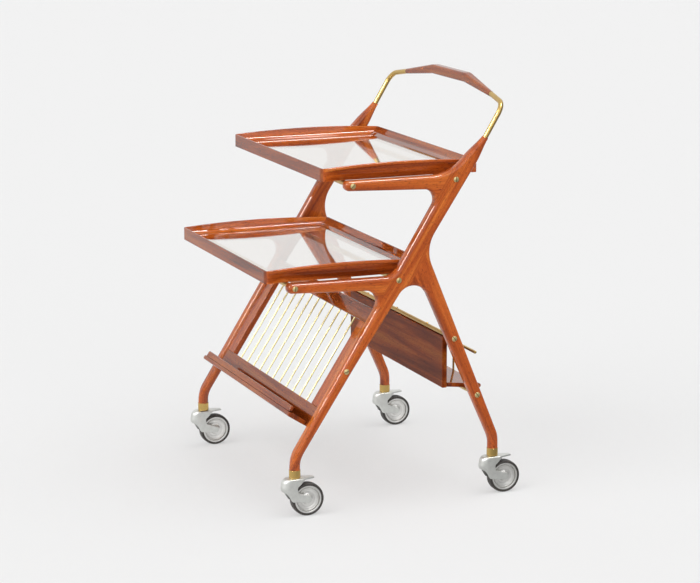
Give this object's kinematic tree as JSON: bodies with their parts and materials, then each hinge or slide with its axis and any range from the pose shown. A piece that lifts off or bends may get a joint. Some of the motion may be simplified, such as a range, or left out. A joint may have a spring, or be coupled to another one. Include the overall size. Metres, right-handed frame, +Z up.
{
  "type": "bar cart",
  "caption": "Tiered bar cart on swivel castors, with lift-off glass trays, a sloping rodded magazine rack, a rear bin and a push handle.",
  "frame": {"origin": "on the floor under the middle of the bounding box", "axes": "+X to the right seen from the tray fronts' side looking to the handle, +Y from the tray fronts to the handle, +Z up"},
  "size_m": [0.5632, 0.5128, 0.7984],
  "materials": {
    "mahogany": "gloss lacquer",
    "brass": "polished",
    "glass": "clear",
    "castor_zinc": "satin",
    "wheel_metal": "turned",
    "tyre": "satin",
    "steel": "plain"
  },
  "bodies": {
    "frame": {"bin_floor": "mahogany", "bin_front_panel": "mahogany", "bin_gallery_posts": "brass", "bin_gallery_rail": "brass", "bin_lower_rod": "brass", "bin_panel_pins": "brass", "bin_upper_rod": "brass", "castor_stem_front_left": "steel", "castor_stem_front_right": "steel", "castor_stem_rear_left": "steel", "castor_stem_rear_right": "steel", "ferrule_front_left": "brass", "ferrule_front_right": "brass", "ferrule_rear_left": "brass", "ferrule_rear_right": "brass", "handle_grip": "mahogany", "handle_tube_left": "brass", "handle_tube_right": "brass", "rack_bottom_rail": "mahogany", "rack_ledge": "mahogany", "rack_lip": "mahogany", "rack_rods": "brass", "rack_stile_left": "mahogany", "rack_stile_right": "mahogany", "rack_top_rail": "mahogany", "side_frame_left": "mahogany", "side_frame_right": "mahogany", "side_screws": "brass", "tray_rod_lower_front": "brass", "tray_rod_lower_rear": "brass", "tray_rod_upper_front": "brass", "tray_rod_upper_rear": "brass"},
    "upper_tray": {"upper_tray_front_rail": "mahogany", "upper_tray_glass": "glass", "upper_tray_rear_rail": "mahogany", "upper_tray_side_rail_left": "mahogany", "upper_tray_side_rail_right": "mahogany"},
    "lower_tray": {"lower_tray_front_rail": "mahogany", "lower_tray_glass": "glass", "lower_tray_rear_rail": "mahogany", "lower_tray_side_rail_left": "mahogany", "lower_tray_side_rail_right": "mahogany"},
    "castor_front_left": {"castor_hood_front_left": "castor_zinc", "castor_axle_front_left": "steel"},
    "wheel_front_left": {"castor_disc_front_left": "wheel_metal", "castor_tyre_front_left": "tyre"},
    "castor_front_right": {"castor_hood_front_right": "castor_zinc", "castor_axle_front_right": "steel"},
    "wheel_front_right": {"castor_disc_front_right": "wheel_metal", "castor_tyre_front_right": "tyre"},
    "castor_rear_left": {"castor_hood_rear_left": "castor_zinc", "castor_axle_rear_left": "steel"},
    "wheel_rear_left": {"castor_disc_rear_left": "wheel_metal", "castor_tyre_rear_left": "tyre"},
    "castor_rear_right": {"castor_hood_rear_right": "castor_zinc", "castor_axle_rear_right": "steel"},
    "wheel_rear_right": {"castor_disc_rear_right": "wheel_metal", "castor_tyre_rear_right": "tyre"}
  },
  "joints": [
    {"name": "upper_tray_lift", "type": "slide", "parent": "frame", "child": "upper_tray", "axis": [0, 0, 1], "range_m": [0, 0.1]},
    {"name": "lower_tray_lift", "type": "slide", "parent": "frame", "child": "lower_tray", "axis": [0, 0, 1], "range_m": [0, 0.12]},
    {"name": "castor_swivel_front_left", "type": "hinge", "parent": "frame", "child": "castor_front_left", "pos_m": [-0.268, -0.20955, 0.075], "axis": [0, 0, 1], "continuous": true},
    {"name": "wheel_roll_front_left", "type": "hinge", "parent": "castor_front_left", "child": "wheel_front_left", "pos_m": [-0.268, -0.18555, 0.032], "axis": [1, 0, 0], "continuous": true},
    {"name": "castor_swivel_front_right", "type": "hinge", "parent": "frame", "child": "castor_front_right", "pos_m": [0.268, -0.20955, 0.075], "axis": [0, 0, 1], "continuous": true},
    {"name": "wheel_roll_front_right", "type": "hinge", "parent": "castor_front_right", "child": "wheel_front_right", "pos_m": [0.268, -0.18555, 0.032], "axis": [1, 0, 0], "continuous": true},
    {"name": "castor_swivel_rear_left", "type": "hinge", "parent": "frame", "child": "castor_rear_left", "pos_m": [-0.268, 0.20045, 0.075], "axis": [0, 0, 1], "continuous": true},
    {"name": "wheel_roll_rear_left", "type": "hinge", "parent": "castor_rear_left", "child": "wheel_rear_left", "pos_m": [-0.268, 0.22445, 0.032], "axis": [1, 0, 0], "continuous": true},
    {"name": "castor_swivel_rear_right", "type": "hinge", "parent": "frame", "child": "castor_rear_right", "pos_m": [0.268, 0.20045, 0.075], "axis": [0, 0, 1], "continuous": true},
    {"name": "wheel_roll_rear_right", "type": "hinge", "parent": "castor_rear_right", "child": "wheel_rear_right", "pos_m": [0.268, 0.22445, 0.032], "axis": [1, 0, 0], "continuous": true}
  ]
}
